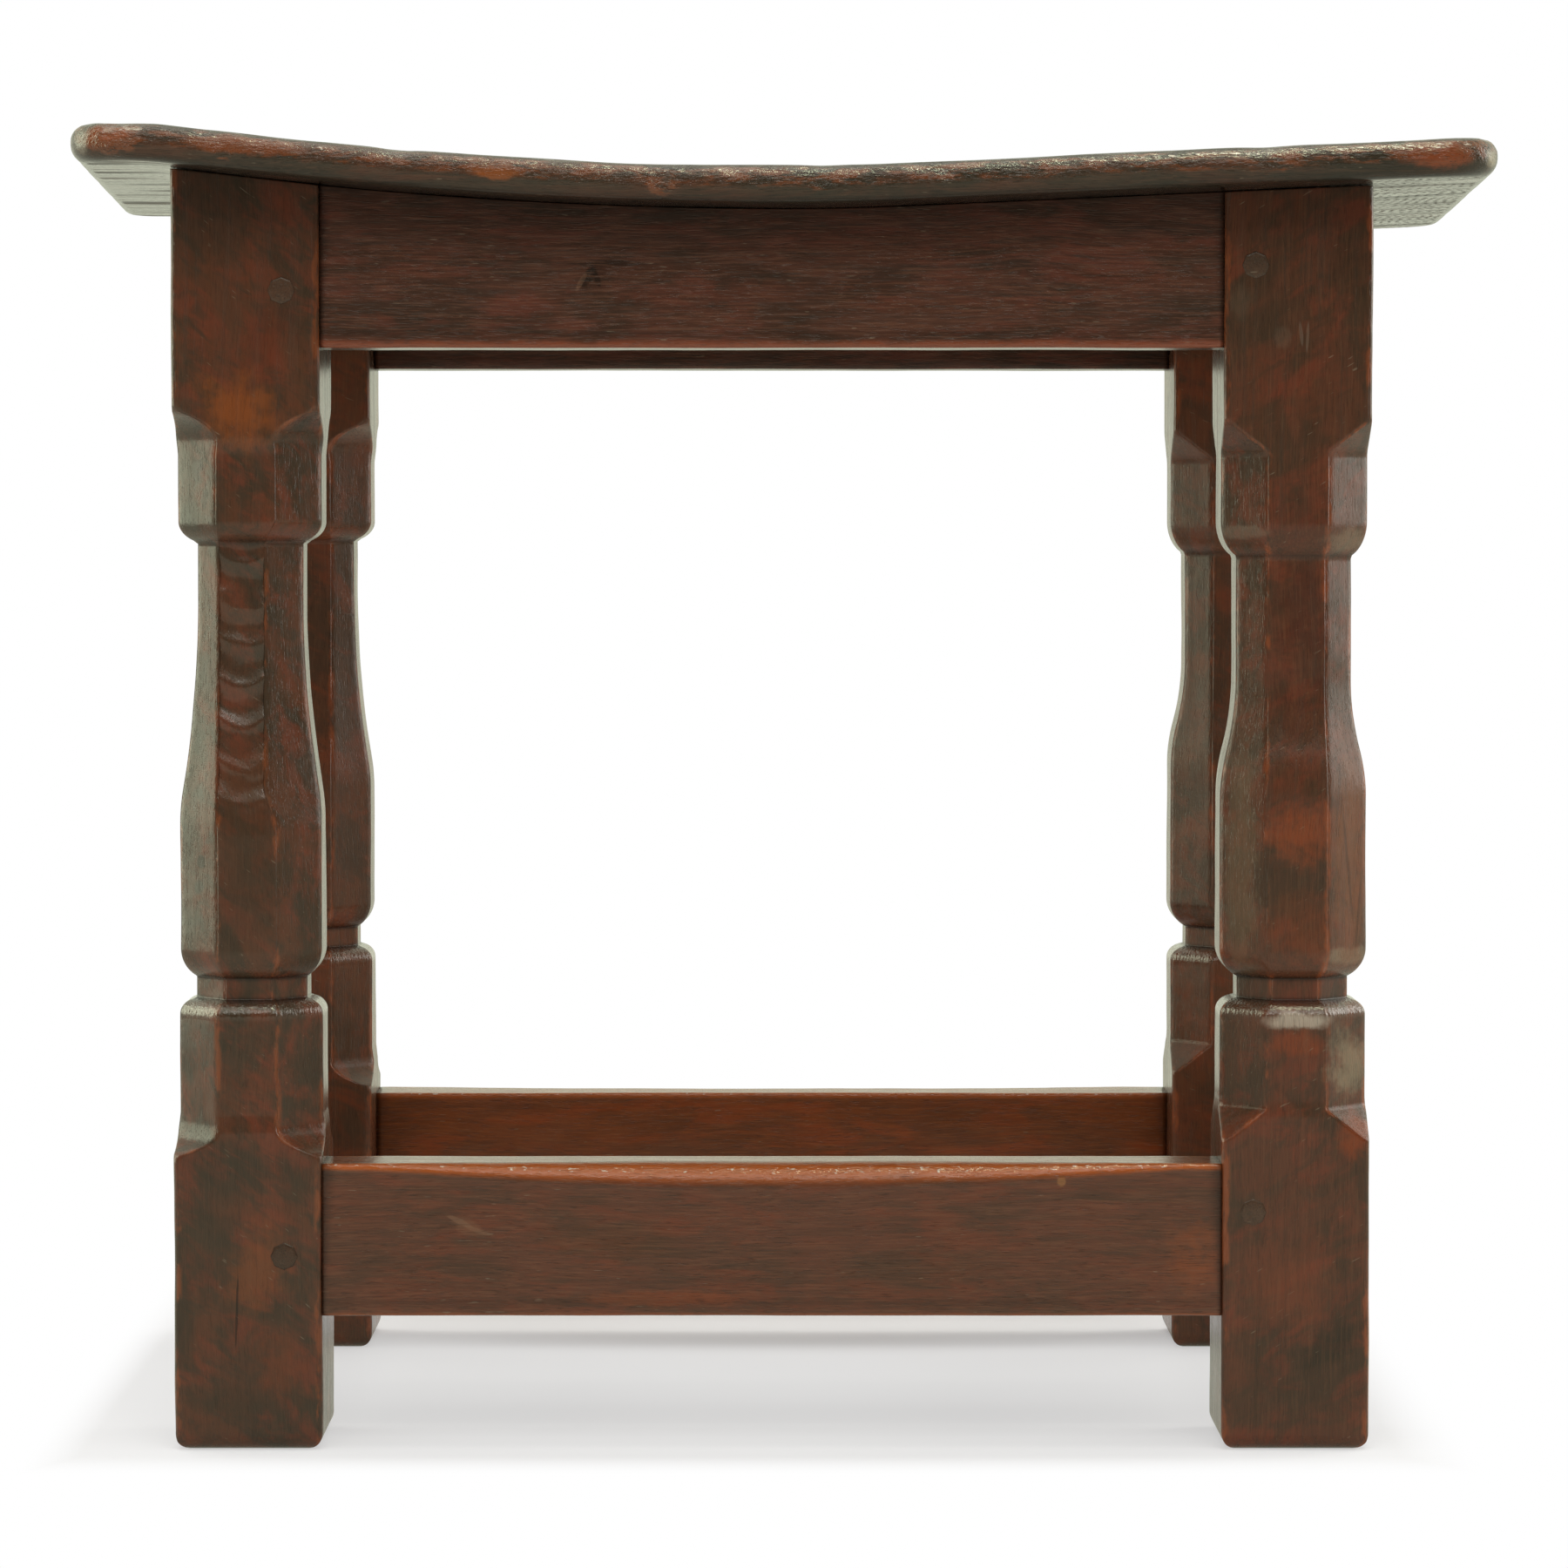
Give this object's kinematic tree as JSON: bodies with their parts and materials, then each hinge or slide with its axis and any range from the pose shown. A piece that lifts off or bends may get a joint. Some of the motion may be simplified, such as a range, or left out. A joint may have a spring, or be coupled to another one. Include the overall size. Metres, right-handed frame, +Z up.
{
  "type": "joint stool",
  "caption": "Oak joint stool with a dished board seat on octagonal baluster legs, joined by pegged rails below the seat and stretchers near the floor.",
  "frame": {"origin": "on the floor, under the middle of the seat board", "axes": "+X along the seat to the right, +Y from the front to the back, +Z up"},
  "size_m": [0.4838, 0.303, 0.4191],
  "materials": {
    "oak_seat": "dark stained oak, waxed, worn red-brown along its edges",
    "oak_legs": "dark stained oak, waxed, hand-cut facets",
    "oak_rails": "dark stained oak, waxed",
    "oak_stretchers": "dark stained oak, waxed, upper edge worn by feet",
    "oak_pegs": "dark oak end grain"
  },
  "bodies": {
    "root": {"seat_board": "oak_seat", "leg_front_left": "oak_legs", "leg_front_right": "oak_legs", "leg_back_left": "oak_legs", "leg_back_right": "oak_legs", "rail_front": "oak_rails", "rail_back": "oak_rails", "rail_left": "oak_rails", "rail_right": "oak_rails", "stretcher_front": "oak_stretchers", "stretcher_back": "oak_stretchers", "stretcher_left": "oak_stretchers", "stretcher_right": "oak_stretchers", "rail_pegs_front": "oak_pegs", "stretcher_pegs_front": "oak_pegs", "rail_pegs_back": "oak_pegs", "stretcher_pegs_back": "oak_pegs", "rail_pegs_left": "oak_pegs", "stretcher_pegs_left": "oak_pegs", "rail_pegs_right": "oak_pegs", "stretcher_pegs_right": "oak_pegs", "seat_pegs": "oak_pegs"}
  },
  "joints": []
}
